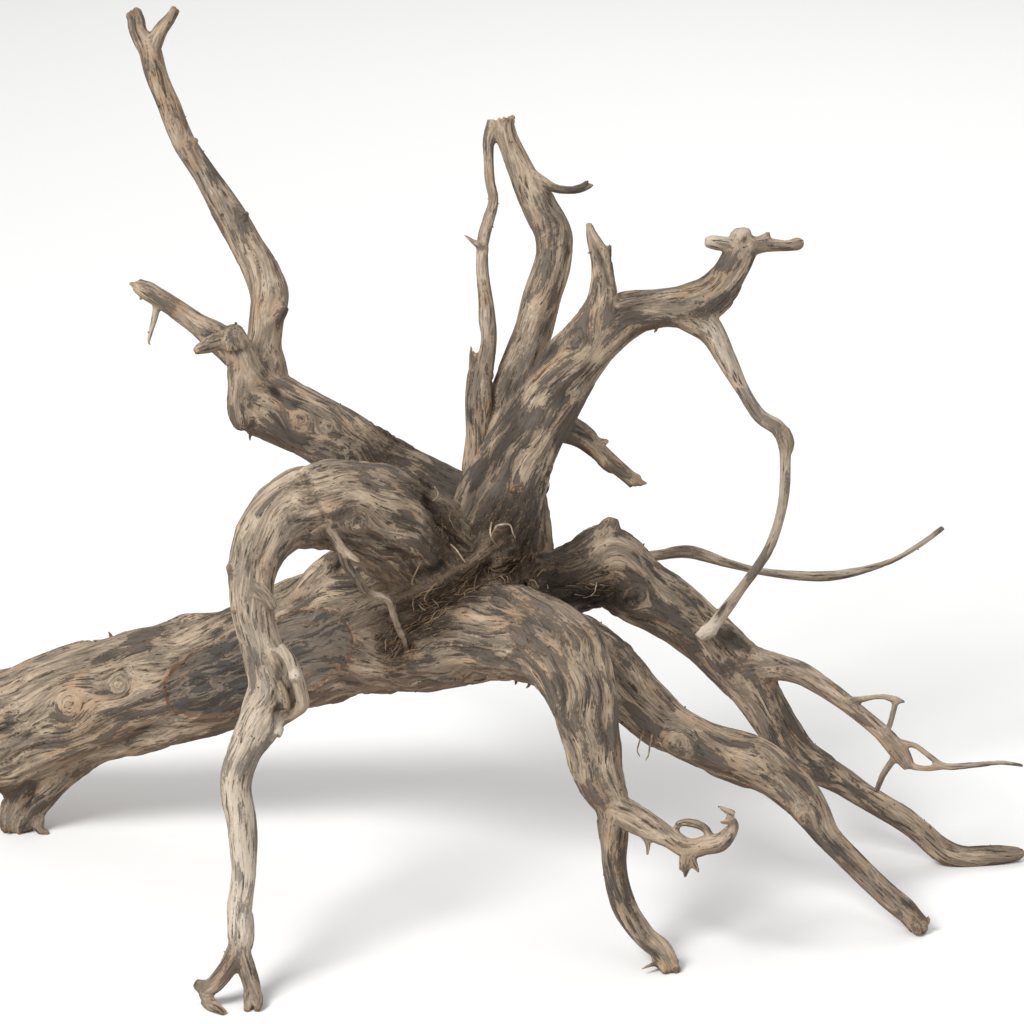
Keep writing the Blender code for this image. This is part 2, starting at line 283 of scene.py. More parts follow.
for name, stations in {
    "up_twig_loop": (
        (289, 13, 143, 3.4), (299, 9, 146, 3), (307, 6, 149, 2.4), (317, 2, 151, 2.6),
        (326, -2, 150, 3), (333, -4, 149, 1.2)
    ),
    "up_twig_post": (
        (326, -2, 150, 2.8), (324, -4, 142, 2.6), (321, -5, 130, 2.6), (317, -4, 121, 3)
    ),
    "up_twig_down": (
        (324, -11, 102, 3), (317, -3, 86, 3), (313, 11, 66, 2.5),
    ),
    "up_thin": (
        (328, -8, 116, 3), (341, -13, 115, 2.5), (353, -19, 108, 2.5), (365, -25, 102, 3),
        (388, -29, 105, 2.5), (408, -34, 109, 2), (426, -40, 109, 1.5),
    ),
    "up_thin_b": (
        (336, -16, 99, 3), (349, -22, 99, 2.5), (365, -25, 102, 2.5),
    ),
}.items():
    limb(name, *stations, bleach=0.5, char=0.4, twist=1.5)


# ---- Upper limbs --------------------------------------------------------------------------------
# The roots that once went down into the soil now stand free above the crown, broken off: a long
# one at the left with a forked tip and a knuckle at its foot, one in the middle with a thin root
# beside it, and a stout one that bends over and lets a thin root hang down to the ground root.

limb("upper_left",
     (-8, 65, 278, 29), (-39, 80, 291, 28), (-71, 95, 304, 27), (-104, 110, 319, 26.5),
     (-136, 125, 333, 26.5), (-165, 137, 345, 27.5), (-184, 146, 352, 29),
     bleach=(0.0, 0.1), char=(1.0, 0.72), twist=0.3)
limb("tall_ledge", (-178, 176, 408, 9), (-171, 176, 418, 8), (-166, 177, 424, 5.5), char=0.6)
limb("tall_burr_a", (-200, 206, 490, 5), (-195, 206, 493, 1.8), char=0.6)
limb("tall_burr_b", (-243, 228, 546, 5), (-236, 226, 548, 2.0), char=0.6)
limb("tall",
     (-185, 149, 356, 24.5), (-182, 161, 375, 18.5), (-183, 171, 391, 14.5), (-181, 182, 411, 15),
     (-179, 191, 428, 16.5), (-186, 199, 447, 15.5), (-199, 208, 468, 13.5),
     (-213, 216, 492, 12.5), (-231, 225, 519, 10), (-248, 232, 545, 10), (-259, 239, 573, 10),
     (-270, 245, 597, 9.5), (-275, 250, 617, 9.5),
     bleach=0.35, char=0.45, twist=1.2)
limb("tall_fork_a",
     (-275, 250, 616, 9), (-284, 253, 632, 7.5), (-286, 256, 641, 7.5), (-289, 257, 649, 5.5),
     bleach=0.3, broken=True)
limb("tall_fork_b",
     (-274, 250, 617, 7.5), (-267, 249, 633, 6.5), (-258, 248, 645, 5), (-254, 249, 653, 3.5),
     bleach=0.3, broken=True)
limb("back_left",
     (-184, 158, 373, 16), (-215, 181, 390, 13), (-241, 200, 402, 9.5), (-265, 217, 413, 8),
     (-280, 227, 419, 8), (-290, 233, 422, 5.5),
     bleach=0.25, char=0.45, broken=True)
splinters("back_left_shred",
          [(-285, 231, 421, 4.2), (-291, 233, 423, 2.8), (-296, 235, 424, 1)],
          [(-281, 229, 418, 4), (-285, 231, 413, 2.4), (-287, 233, 410, 1)])
limb("back_left_twig",
     (-271, 223, 414, 3.8), (-274, 217, 400, 3), (-277, 213, 389, 2.2), (-279, 211, 381, 1.6),
     (-277, 210, 378, 0.9),
     bleach=0.7, char=0.1)
limb("stub_knob",
     (-184, 142, 359, 19.5), (-194, 140, 377, 15.5), (-201, 141, 395, 13), (-207, 146, 412, 8),
     bleach=0.35, char=0.3)
limb("stub_low",
     (-201, 141, 392, 12), (-200, 134, 372, 11.5), (-200, 129, 354, 12), (-198, 126, 342, 11),
     (-197, 125, 335, 6.5),
     bleach=0.15, char=(0.45, 0.75))
limb("elbow_lump", (-204, 138, 402, 12.5), (-206, 137, 412, 10), (-208, 136, 418, 6), bleach=0.4,
     char=0.15)
limb("stub_side",
     (-202, 146, 405, 9.5), (-216, 140, 405, 8), (-228, 135, 402, 6.4), (-237, 131, 399, 3),
     bleach=(0.4, 0.1), char=(0.3, 0.8))
limb("main_up",
     (-11, 32, 231, 43), (-1, 38, 265, 40), (9, 44, 299, 35.5), (23, 52, 336, 29.5),
     (46, 61, 375, 26), (67, 71, 408, 24), (87, 77, 430, 22.5), (111, 80, 446, 18.5),
     (137, 81, 452, 15.5), (160, 81, 454, 18), (179, 84, 463, 17), (193, 89, 480, 13.5),
     (201, 94, 496, 13.5),
     bleach=(0.0, 0.1), char=(0.86, 0.62), twist=0.5)
limb("main_knob",
     (202, 95, 498, 11), (190, 90, 502, 6.6), (179, 86, 505, 6.2), (172, 84, 506, 4.2),
     bleach=0.7, char=0.2)
limb("main_top",
     (201, 94, 496, 11), (200, 96, 507, 8),
     bleach=0.6, char=0.3)
limb("main_knot", (198, 96, 499, 9), (201, 97, 508, 9), (201, 97, 513, 6.5), bleach=0.6, char=0.3)
splinters("main_spur", [(214, 98, 500, 6), (221, 101, 505, 3.5), (223, 102, 509, 1.5)])
limb("main_tip",
     (204, 95, 499, 9.5), (220, 99, 499, 6), (236, 103, 497, 4.4), (242, 105, 497, 4.6),
     (247, 106, 498, 5.2), (251, 107, 498, 3),
     bleach=0.3, char=(0.3, 0.7))
limb("main_stub",
     (81, 73, 431, 20.5), (90, 76, 456, 13.5), (91, 80, 474, 10), (90, 84, 489, 8.6),
     (86, 87, 501, 6.8), (82, 89, 511, 4.4), (80, 91, 520, 2.2),
     bleach=0.3, char=0.35, broken=True)
splinters("stub_prong", [(92, 82, 482, 6), (95, 85, 494, 3.4), (97, 87, 503, 1.2)])
limb("hang_root",
     (160, 79, 449, 16), (177, 70, 436, 11), (189, 57, 418, 8.5), (201, 45, 397, 6),
     (215, 36, 377, 6), (232.5, 31, 365, 6.5), (235.5, 26, 342, 4.5), (233.5, 21, 307, 4.5),
     (223.5, 22, 270, 4.5), (205, 28, 238, 4), (191, 31, 216, 5), (179, 30, 199, 5.5),
     bleach=0.6, char=0.3, twist=1.2)
limb("hang_elbow", (232, 31, 366, 7.5), (236, 30, 356, 7.5), (236, 29, 348, 5),
     bleach=0.3, char=0.2)
limb("broken_twig",
     (54, 70, 358, 13), (73, 74, 348, 11), (87, 79, 333, 8), (104, 82, 317, 6.5),
     (118, 84, 304, 6),
     bleach=(0.0, 0.2), char=0.45, broken=True)
limb("twig_flap_a", (89, 78, 339, 6), (94, 77, 341, 3), (97, 77, 341, 1.4), char=0.2)
limb("twig_flap_b", (92, 78, 325, 6), (97, 77, 317, 3.0), (101, 77, 314, 1.2), char=0.2)
splinters("twig_shred", [(113, 83, 306, 4), (122, 83, 304, 2.8), (128, 82, 304, 1.2)])
limb("second_up",
     (5, 74, 318, 24), (12, 98, 348, 19.5), (21, 120, 379, 16.5), (34, 139, 408, 15),
     (43, 155, 435, 15.5), (52, 170, 462, 15.5), (52, 181, 483, 16), (42, 190, 502, 14.5),
     (34, 196, 515, 12.5), (28, 201, 527, 11), (21, 207, 541, 9.5), (15, 213, 554, 9),
     (11, 219, 567, 9.5),
     bleach=0.35, char=0.4, twist=0.8, broken=True)
limb("second_corner", (52, 178, 484, 14), (56, 178, 487, 10), (59, 178, 487, 5), char=0.7)
limb("second_twig",
     (27, 202, 530, 6.5), (42, 193, 524, 5), (53, 185, 520, 4), (66, 179, 520, 3.5),
     (76, 176, 523, 3.6), (85, 174, 526, 1.2),
     bleach=0.1, char=0.7)
limb("twig_barb", (74, 176, 523, 2.6), (79, 175, 528, 1.6), (81, 175, 530, 0.7), char=0.8)
limb("loop_stub",
     (-6, 48, 302, 12), (-8, 66, 321, 13.5), (-7, 82, 345, 11.5), (-7, 97, 369, 11.5),
     (-7, 109, 387, 10), (-4, 117, 401, 7),
     bleach=0, char=0.5, broken=True)
splinters("stub_bark",
          [(-10, 106, 382, 6), (-13, 113, 396, 3.2), (-14, 119, 408, 1)],
          [(-1, 106, 386, 6), (1, 111, 401, 3.2), (3, 116, 415, 1)])
limb("loop_root",
     (-5, 104, 380, 8), (0, 120, 410, 7), (-1, 130, 426, 7), (-2, 140, 440, 6),
     (-4, 148, 454, 5.5), (-5, 156, 467, 5), (-4, 166, 482, 5), (0, 175, 496, 5),
     (4, 184, 510, 4.5), (1, 194, 524, 4.5), (0, 202, 539, 4.5), (0, 211, 553, 5.5),
     (5, 219, 566, 7),
     bleach=0.4, char=0.4, twist=1.5)
limb("loop_thorn", (-4, 160, 477, 3.6), (-12, 161, 482, 2.2), (-20, 162, 488, 0.8), char=0.8)
limb("back_lump",
     (33, 69, 239, 21.5), (33, 83, 262, 19.5), (30, 93, 284, 17.5), (25, 99, 305, 17.5),
     bleach=0.3, char=0.3)


# ---- Skin ---------------------------------------------------------------------------------------
# All limbs grown together as one closed skin. The limbs are swept as round tubes, fused on a fine
# grid, and then worked along their grain: swellings, flutes, fibres, drying checks, and thin
# plates of bark that never wore off. The tips that bear on the ground are worn level.

SIDES = 6  # the sweep's bevel resolution
GRID = 1.3 * MM  # the cell that the limbs are fused on
CREASE_PASSES = 5  # how often the creases between limbs are smoothed
SKIN_TRIANGLES = 190000
REACH = 7 * MM  # how far a limb's grain is felt beyond its own surface
GRAIN_OFFSET = 0.37  # metres between the grains of one limb and the next, so that no two match


def swept_limbs():
    """Every limb as a closed round tube, all in one mesh, passing through each other."""
    curve = bpy.data.curves.new("limbs", "CURVE")
    curve.dimensions = "3D"
    curve.bevel_depth = 1.0
    curve.bevel_resolution = SIDES
    curve.use_fill_caps = True
    for run in limbs.values():
        spline = curve.splines.new("POLY")
        spline.points.add(len(run.centre) - 1)
        places = np.column_stack([run.centre, np.ones(len(run.centre))])
        spline.points.foreach_set("co", places.ravel())
        spline.points.foreach_set("radius", run.radius)
    guide = bpy.data.objects.new("limbs", curve)
    bpy.context.scene.collection.objects.link(guide)
    bpy.context.view_layer.update()
    graph = bpy.context.evaluated_depsgraph_get()
    mesh = bpy.data.meshes.new_from_object(guide.evaluated_get(graph))
    bpy.data.objects.remove(guide)
    return mesh


def finished(piece):
    """The piece with its modifiers worked into its mesh."""
    bpy.context.view_layer.update()
    graph = bpy.context.evaluated_depsgraph_get()
    mesh = bpy.data.meshes.new_from_object(piece.evaluated_get(graph))
    piece.modifiers.clear()
    piece.data = mesh


def points_of(mesh):
    flat = np.empty(len(mesh.vertices) * 3, np.float32)
    mesh.vertices.foreach_get("co", flat)
    return flat.reshape(-1, 3).astype(float)


class Grain:
    """Where each point lies in the grain of the limbs near it, and how much each limb counts."""

    def __init__(self, points):
        wander = np.stack([solid_noise(points, 34 * MM, seed) for seed in (61, 67, 71)], 1) * 4 * MM
        found = []
        for number, run in enumerate(limbs.values()):
            margin = run.radius.max() * 1.6 + 2 * REACH
            above = (points > run.centre.min(0) - margin).all(1)
            chosen = np.flatnonzero(above & (points < run.centre.max(0) + margin).all(1))
            if not len(chosen):
                continue
            across, along, thickness, height, here = run.section_at(points[chosen])
            place = np.column_stack([across, along])
            bend = wander[chosen] * np.minimum(1, thickness / (20 * MM))[:, None]
            for knot, size, _, _ in KNOTS:
                centre, centre_along, _, away, _ = run.section_at(np.array([knot]) * MM)
                if abs(away[0]) < 8 * MM:
                    offset = place - np.append(centre[0], centre_along[0])
                    distance = np.linalg.norm(offset, axis=1)[:, None] + 0.5 * MM
                    push = size * MM * np.exp(-(distance / (1.7 * size * MM)) ** 2)
                    bend -= push * offset / distance * (1, 1, 0)
            coords = place + bend + (0, 0, number * GRAIN_OFFSET)
            close = height < REACH + 0.35 * thickness
            rows = (chosen, np.full(len(chosen), number), coords, along, thickness, height,
                    here(run.bleach), here(run.char))
            found.append([row[close] for row in rows])
        columns = (np.concatenate(column) for column in zip(*found))
        (self.point, self.limb, self.coords, self.along, self.thickness, self.height,
         self.bleach, self.char) = columns
        self.count = len(points)
        soft = 1.2 * MM + 0.07 * self.thickness
        lowest = np.full(self.count, np.inf)
        np.minimum.at(lowest, self.point, self.height)
        self.weight = np.exp(-(self.height - lowest[self.point]) / soft)
        self.total = np.bincount(self.point, self.weight, self.count)

    def blend(self, values):
        """One value for each point, from the values of the limbs near it."""
        return np.bincount(self.point, self.weight * values, self.count) / self.total

    def noise(self, across, along, seed=0.0):
        """Smooth noise from about -1 to 1, drawn out along the grain; lengths in metres."""
        stretched = self.coords / (across, across, along) + seed
        return self.blend(np.array([noise.noise(p) for p in stretched.tolist()]) * 1.6)


def solid_noise(points, size, seed=0.0):
    """Smooth noise from about -1 to 1 with lumps of the given size, the same in all directions."""
    return np.array([noise.noise(p) for p in (points / size + seed).tolist()]) * 1.6


def ramp(values, low, high):
    """0 below low, 1 above high, eased between."""
    t = np.clip((values - low) / (high - low), 0, 1)
    return t * t * (3 - 2 * t)


def distance_to_line(points, stops):
    """Distance from each point to a line through the stops, in metres."""
    stops = np.array(stops, float) * MM
    nearest = np.full(len(points), np.inf)
    for a, b in zip(stops, stops[1:]):
        t = np.clip((points - a) @ (b - a) / ((b - a) @ (b - a)), 0, 1)[:, None]
        nearest = np.minimum(nearest, np.linalg.norm(points - a - t * (b - a), axis=1))
    return nearest


# Folds and holes in the skin: the line each follows, its width and depth, all in mm, and how dark.
# The darkness is painted shade in the fold or hole; an entry with no depth paints a flat dark
# patch.
HOLLOWS = {
    "crown_cleft": ([(-46, -6, 322), (-34, -8, 308), (-24, -6, 292), (-14, -4, 282)], 11, 12, 1.0),
    "cleft_mouth": ([(-52, -16, 334), (-36, -18, 306), (-24, -16, 288)], 17, 2, 0.6),
    # Painted shadow on the main limb's lower left: dark, with no depth.
    "main_painted_shadow": ([(-16, 22, 306), (-8, 26, 330), (2, 30, 344)], 17, 0, 0.5),
    "under_rib": ([(-70, -12, 208), (-44, -24, 232), (-22, -20, 250), (0, -6, 262)], 7, 5, 0.85),
    "above_rib": ([(-104, 0, 226), (-84, -16, 242), (-58, -26, 260), (-34, -20, 276)], 7, 4, 0.8),
    "shoulder_end": ([(-72, -56, 300), (-54, -44, 282), (-62, -48, 270)], 17, 0, 0.42),
    "front_top": ([(-40, -34, 226), (-14, -30, 240)], 12, 0, 0.35),
    "main_foot": ([(2, 4, 262), (18, 8, 258), (34, 8, 250)], 6, 5, 0.9),
    "far_root_base": ([(54, 18, 240), (78, 24, 228), (98, 26, 216)], 22, 1, 0.75),
    "far_root_top": ([(52, 24, 252), (70, 40, 262)], 12, 0.5, 0.5),
    "behind_knee": ([(72, -40, 214), (92, -34, 190)], 13, 4, 0.85),
    "arch_crease": ([(-146, -43, 361), (-137, -62, 353), (-130, -70, 340), (-125, -70, 327)],
                    3, 3, 0.5),
    "leg_hole": ([(-161, -166, 207), (-158, -169, 203)], 5, 8, 1.0),
    "burl_fold": ([(-160, -160, 236), (-163, -164, 222), (-160, -166, 210)], 3, 3, 0.7),
    "loop_root_pocket": ([(14, 60, 316), (6, 76, 336)], 7, 4, 0.8),
    "foot_split": ([(-376, 74, 44), (-384, 74, 22)], 6, 6, 1.0),
    "left_elbow": ([(-176, 126, 372), (-168, 122, 362)], 6, 3, 0.8),
    "shoulder_stain": ([(-112, -64, 340), (-96, -58, 340)], 6, 0.4, 0.55),
    "knee_stain": ([(50, -78, 168), (58, -92, 140)], 8, 0.5, 0.55),
    "left_limb_stain": ([(-168, 114, 338), (-122, 92, 330), (-71, 80, 322), (-30, 62, 310)],
                        24, 0, 0.4),
    "main_side_stain": ([(-12, 40, 325), (6, 34, 345), (16, 34, 372)], 16, 0, 0.34),
    "arch_stain": ([(84, 66, 414), (118, 66, 436), (160, 62, 440), (186, 70, 462)], 15, 0, 0.26),
    "stub_fork": ([(104, 66, 452), (120, 66, 462)], 7, 1, 0.65),
    "stub_face": ([(95, 74, 474), (91, 78, 488), (86, 82, 503)], 4, 3.5, 0.75),
    "twig_groove": ([(74, 60, 352), (92, 66, 332), (114, 74, 308)], 2.6, 2.5, 0.85),
    "front_leg_dark": ([(103, -152, 108), (104, -168, 70), (111, -180, 45), (124, -190, 26)],
                       4.5, 0.6, 0.6),
    "knob_hole": ([(203, 88, 505), (204, 90, 507)], 3.2, 3, 0.85),
}
# Places where soil and root fibre still cling: a point in mm and how far they spread.
SOIL = [((-46, -20, 236), 40), ((-20, -14, 252), 34), ((-72, -16, 210), 30), ((-31, -14, 300), 30),
        ((25, 10, 262), 36), ((60, 20, 245), 38), ((92, 24, 226), 30), ((10, 8, 290), 34),
        ((80, -30, 196), 26), ((-60, 60, 262), 40), ((-84, 104, 318), 34), ((28, 62, 300), 30),
        ((-50, -52, 268), 30), ((-40, 20, 345), 30)]
# Knots and burls that the grain flows round: a place, a size and how far they stand up, in mm, and
# how bare and pale they are.
KNOTS = [
    ((-153, 103, 349), 10, 1.8, 0.25), ((-130, 99, 347), 7, 1.8, 0.4),
    ((-178, 128, 350), 12, 1.5, 0.2), ((-108, 88, 322), 8, 1.4, 0.35),
    ((-163, -44, 336), 13, 1.0, 0), ((62, -82, 222), 9, 1.0, 0),
    ((-300, 56, 140), 11, 0.4, 0), ((24, 4, 320), 11, 1.0, 0), ((150, -74, 140), 12, 1.5, 0),
    ((-100, -62, 322), 12, 0.4, 0), ((-40, 30, 170), 12, 0.8, 0), ((-6, -40, 190), 10, 0.8, 0),
    ((118, 32, 224), 13, 0.6, 0.1), ((-340, 60, 120), 14, 0.5, 0), ((70, 60, 430), 9, 0.8, 0),
    ((250, -92, 86), 9, 1.0, 0.1), ((-230, 110, 390), 8, 0.8, 0),
]
# The bark scar on the trunk's front, in mm: its centre along the trunk and round it, half its
# length and width, how far it is sunk, and how far the bark's lip stands up round it.
SCAR_ALONG, SCAR_ROUND = 258, 9
SCAR_LENGTH, SCAR_WIDTH = 92, 33
SCAR_SUNK, SCAR_LIP = 2.0, 1.2


def scar_depth(points):
    """How far inside the trunk's bark scar each point lies: 1 in the middle, 0 on its rim."""
    trunk = limbs["trunk"]
    chosen = np.flatnonzero((points[:, 0] < 0) & (points[:, 1] < 0.10) & (points[:, 2] < 0.27))
    _, along, thickness, height, _ = trunk.section_at(points[chosen])
    near = np.abs(trunk.along[:, None] - along).argmin(0)
    outward = points[chosen] - trunk.centre[near]
    round_it = np.arctan2(outward[:, 2], -outward[:, 1]) * thickness / MM
    u = (along / MM - SCAR_ALONG) / SCAR_LENGTH
    v = (round_it - SCAR_ROUND) / SCAR_WIDTH
    ragged = 0.10 * solid_noise(points[chosen], 12 * MM, 5)
    inside = 1 - (np.abs(u) ** 3.0 + np.abs(v) ** 2.4) + ragged
    inside[(height > 8 * MM) | (outward[:, 1] > 0.01)] = -1
    depth = np.full(len(points), -1.0)
    depth[chosen] = inside
    return depth


# Relief that water and drying leave on a stout limb, in mm. A thin limb has less.
FLUTES, FIBRES, FINE_FIBRES, CHECKS, BARK, SOIL_CRUST = 1.1, 0.55, 0.25, 2.2, 0.6, 1.5
STOUT = 24 * MM  # the radius from which a limb counts as stout
TORN = 7 * MM  # the length of torn wood at a broken end


def weathered(points):
    """Height of the worn wood over the plain limbs, in metres, and the marks that colour it."""
    grain = Grain(points)
    thickness = grain.blend(grain.thickness)
    bleach = grain.blend(grain.bleach)
    char = grain.blend(grain.char)
    stout = np.clip(thickness / STOUT, 0.12, 1)
    swell = 0.048 * grain.noise(0.032, 0.060) + 0.045 * grain.noise(0.014, 0.035, 3) - 0.02
    flutes = grain.noise(0.0085, 0.13, 7)
    fibres = grain.noise(0.0035, 0.055, 11)
    fine = grain.noise(0.0019, 0.030, 13)
    bark = 0.62 * grain.noise(0.0095, 0.034, 17) + 0.45 * grain.noise(0.0042, 0.017, 19)
    bark += 0.40 * grain.noise(0.028, 0.085, 21) + 1.1 * (char - 0.5)
    split = np.abs(grain.noise(0.0085, 0.15, 23))
    checks = ramp(0.16 - split, 0, 0.16) * ramp(grain.noise(0.03, 0.07, 29), 0.05, 0.35)
    soil = np.zeros(len(points))
    for place, spread in SOIL:
        away = np.linalg.norm(points - np.array(place) * MM, axis=1)
        soil = np.maximum(soil, np.exp(-(away / (spread * MM)) ** 2.5))
    # Painted shade: drying checks, folds and holes are darkened here, and the flat dark patches are
    # laid on.
    hollow_shade_and_patches = 0.45 * checks
    carve = np.zeros(len(points))
    for line, width, depth, dark in HOLLOWS.values():
        near = np.exp(-(distance_to_line(points, line) / (width * MM)) ** 2)
        carve -= depth * MM * near
        hollow_shade_and_patches = np.maximum(hollow_shade_and_patches, dark * near**1.3)
    for place, size, rise, bare in KNOTS:
        away = np.linalg.norm(points - np.array(place) * MM, axis=1) / (size * MM)
        away = away * (1 + 0.22 * flutes + 0.16 * bark)
        near = np.exp(-away**2)
        rings = np.cos(away * 6 + 2.5 * flutes)
        carve += rise * MM * near * (1 + 0.12 * bare * rings)
        bark -= 1.5 * bare * near**1.5
        bark += 0.9 * bare * np.exp(-((away - 1.5) / 0.45) ** 2)
        bleach += 0.35 * bare * near**1.5
    scar = scar_depth(points)
    rim = np.exp(-(scar / 0.07) ** 2)
    carve -= MM * SCAR_SUNK * ramp(scar, 0.0, 0.12)
    carve += MM * SCAR_LIP * np.exp(-((scar + 0.09) / 0.06) ** 2)
    matted = solid_noise(points, 5 * MM, 31) + 0.9 * grain.noise(0.003, 0.03, 37)
    relief = FLUTES * flutes + FIBRES * fibres + FINE_FIBRES * fine - CHECKS * checks
    height = thickness * swell + carve + MM * stout * relief
    height += MM * (BARK * ramp(bark, 0.14, 0.26) * stout + SOIL_CRUST * soil * matted)
    fresh = np.zeros(len(points))
    for number, run in enumerate(limbs.values()):
        if run.broken:
            own = grain.limb == number
            tip = ramp(grain.along[own], run.along[-1] - TORN, run.along[-1] - 1 * MM)
            tip = tip * grain.weight[own] / grain.total[grain.point[own]]
            fresh[grain.point[own]] = np.maximum(fresh[grain.point[own]], tip)
    height += fresh * np.minimum(thickness * 0.35, 3 * MM) * grain.noise(0.0028, 0.5, 41)
    trunk_end = np.clip((6 * MM - grain.along) / (6 * MM), 0, 1) * (grain.limb == 0)
    end_rings = np.linalg.norm(grain.coords[:, :2], axis=1)
    marks = {"bark": bark, "bleach": bleach, "soil": soil, "hollow_shade_and_patches": hollow_shade_and_patches, "fresh": fresh,
             "scar": np.clip(scar, -0.5, 1), "rim": rim, "flute": flutes,
             "end_grain": grain.blend(trunk_end), "ring": grain.blend(end_rings)}
    return height, marks, grain


def level_the_feet(mesh):
    """The tips that bear on the ground are worn flat there."""
    shape = bmesh.new()
    shape.from_mesh(mesh)
    everything = shape.verts[:] + shape.edges[:] + shape.faces[:]
    cut = bmesh.ops.bisect_plane(shape, geom=everything, dist=1e-6, plane_co=(0, 0, 0),
                                 plane_no=(0, 0, 1), clear_inner=True)
    rim = [e for e in cut["geom_cut"] if isinstance(e, bmesh.types.BMEdge)]
    bmesh.ops.holes_fill(shape, edges=rim, sides=0)
    bmesh.ops.triangulate(shape, faces=shape.faces[:])
    shape.to_mesh(mesh)
    shape.free()


def keep_largest_body(mesh):
    """Drops any crumb of wood that the grid left loose."""
    shape = bmesh.new()
    shape.from_mesh(mesh)
    shape.verts.ensure_lookup_table()
    seen = np.zeros(len(shape.verts), bool)
    bodies = []
    for start in shape.verts:
        if seen[start.index]:
            continue
        seen[start.index] = True
        body = [start]
        for vert in body:
            for edge in vert.link_edges:
                other = edge.other_vert(vert)
                if not seen[other.index]:
                    seen[other.index] = True
                    body.append(other)
        bodies.append(body)
    bodies.sort(key=len)
    for body in bodies[:-1]:
        bmesh.ops.delete(shape, geom=body, context="VERTS")
    shape.to_mesh(mesh)
    shape.free()


def store(mesh, name, values):
    """Keeps a value for each point, for the material to read."""
    kept = mesh.attributes.new(name, "FLOAT", "POINT")
    kept.data.foreach_set("value", values.astype(np.float32))


def store_grain(mesh, grain):
    """Each face takes the grain of its two nearest limbs, so no triangle is torn between limbs."""
    count = len(limbs)
    faces = np.empty(len(mesh.polygons) * 3, np.int32)
    mesh.loops.foreach_get("vertex_index", faces)
    heights = np.full((count, grain.count), 0.05, np.float32)
    heights[grain.limb, grain.point] = grain.height
    coords = np.zeros((count, grain.count, 3), np.float32)
    coords[grain.limb, grain.point] = grain.coords
    soft = np.full((count, grain.count), 2 * MM, np.float32)
    soft[grain.limb, grain.point] = 1.2 * MM + 0.07 * grain.thickness
    corners = faces.reshape(-1, 3)
    of_face = heights[:, corners].sum(2)
    order = np.argsort(of_face, axis=0)[:2]
    first = np.repeat(order[0], 3)
    second = np.repeat(order[1], 3)
    gap = (heights[second, faces] - heights[first, faces]) / soft[first, faces]
    share = 1 / (1 + np.exp(-np.clip(gap, -12, 12)))
    for name, chosen in (("grain", first), ("grain_other", second)):
        layer = mesh.attributes.new(name, "FLOAT_VECTOR", "CORNER")
        layer.data.foreach_set("vector", coords[chosen, faces].ravel())
    layer = mesh.attributes.new("share", "FLOAT", "CORNER")
    layer.data.foreach_set("value", share.astype(np.float32))


skin = bpy.data.objects.new("driftwood_skin", swept_limbs())
bpy.context.scene.collection.objects.link(skin)
fuse = skin.modifiers.new("fuse", "REMESH")
fuse.mode = "VOXEL"
fuse.voxel_size = GRID
ease = skin.modifiers.new("ease", "SMOOTH")
ease.factor = 0.5
ease.iterations = CREASE_PASSES
finished(skin)
plain = points_of(skin.data)
outward = np.empty(len(plain) * 3, np.float32)
skin.data.vertices.foreach_get("normal", outward)
height, _, _ = weathered(plain)
worked = plain + outward.reshape(-1, 3) * height[:, None]
skin.data.vertices.foreach_set("co", worked.ravel())
skin.data.update()
keep_largest_body(skin.data)
thin = skin.modifiers.new("thin", "DECIMATE")
thin.ratio = SKIN_TRIANGLES / (2 * len(skin.data.polygons))
thin.use_collapse_triangulate = True
finished(skin)
level_the_feet(skin.data)
_, marks, grain = weathered(points_of(skin.data))
for name, values in marks.items():
    store(skin.data, name, values)
store_grain(skin.data, grain)
skin.data.shade_smooth()
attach(skin, "root")
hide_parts("driftwood")


# ---- Weathered wood -----------------------------------------------------------------------------
# Bare wood, bleached grey-beige by sun and water, with tan in broad patches, charcoal plates of
# inner bark with brown rims, fine fibres along the grain, and dark soil in the crown. Light and
# shade are painted in too: more silver on upward faces, an orange-brown shade on the undersides,
# and near black in folds, holes and cracks.

tree = None  # the node tree of the material in hand


class Number:
    """A number that varies over a surface: arithmetic on it adds Math nodes."""

    def __init__(self, socket):
        self.socket = socket

    def math(self, operation, *others):
        return node("ShaderNodeMath", {"operation": operation}, self, *others)

    def __add__(self, other):
        return self.math("ADD", other)

    __radd__ = __add__

    def __sub__(self, other):
        return self.math("SUBTRACT", other)

    def __rsub__(self, other):
        return node("ShaderNodeMath", {"operation": "SUBTRACT"}, other, self)

    def __mul__(self, other):
        return self.math("MULTIPLY", other)

    __rmul__ = __mul__

    def __neg__(self):
        return self * -1


def node(kind, settings, *values, out=0, **named):
    """Adds a node: its settings, then the values or links of its sockets. Returns an output."""
    made = tree.nodes.new(kind)
    for name, value in settings.items():
        setattr(made, name, value)
    pairs = [(made.inputs[i], value) for i, value in enumerate(values)]
    pairs += [(made.inputs[name.replace("_", " ")], value) for name, value in named.items()]
    for socket, value in pairs:
        if isinstance(value, Number):
            tree.links.new(value.socket, socket)
        else:
            socket.default_value = value
    return Number(made.outputs[out])


def between(value, low, high):
    """0 where the value is below low, 1 above high, eased between."""
    settings = {"interpolation_type": "SMOOTHSTEP"}
    return node("ShaderNodeMapRange", settings, value, low, high, 0.0, 1.0)


def paint(factor, under, over):
    """Two colours mixed: over shows where the factor is 1."""
    made = tree.nodes.new("ShaderNodeMix")
    made.data_type = "RGBA"
    made.clamp_factor = True
    for number, value in ((0, factor), (6, under), (7, over)):
        socket = made.inputs[number]
        if isinstance(value, Number):
            tree.links.new(value.socket, socket)
        else:
            socket.default_value = value
    return Number(made.outputs[2])


def mark(name, out="Fac"):
    return node("ShaderNodeAttribute", {"attribute_name": name}, out=out)


def mix(factor, a, b):
    return a + (b - a) * factor


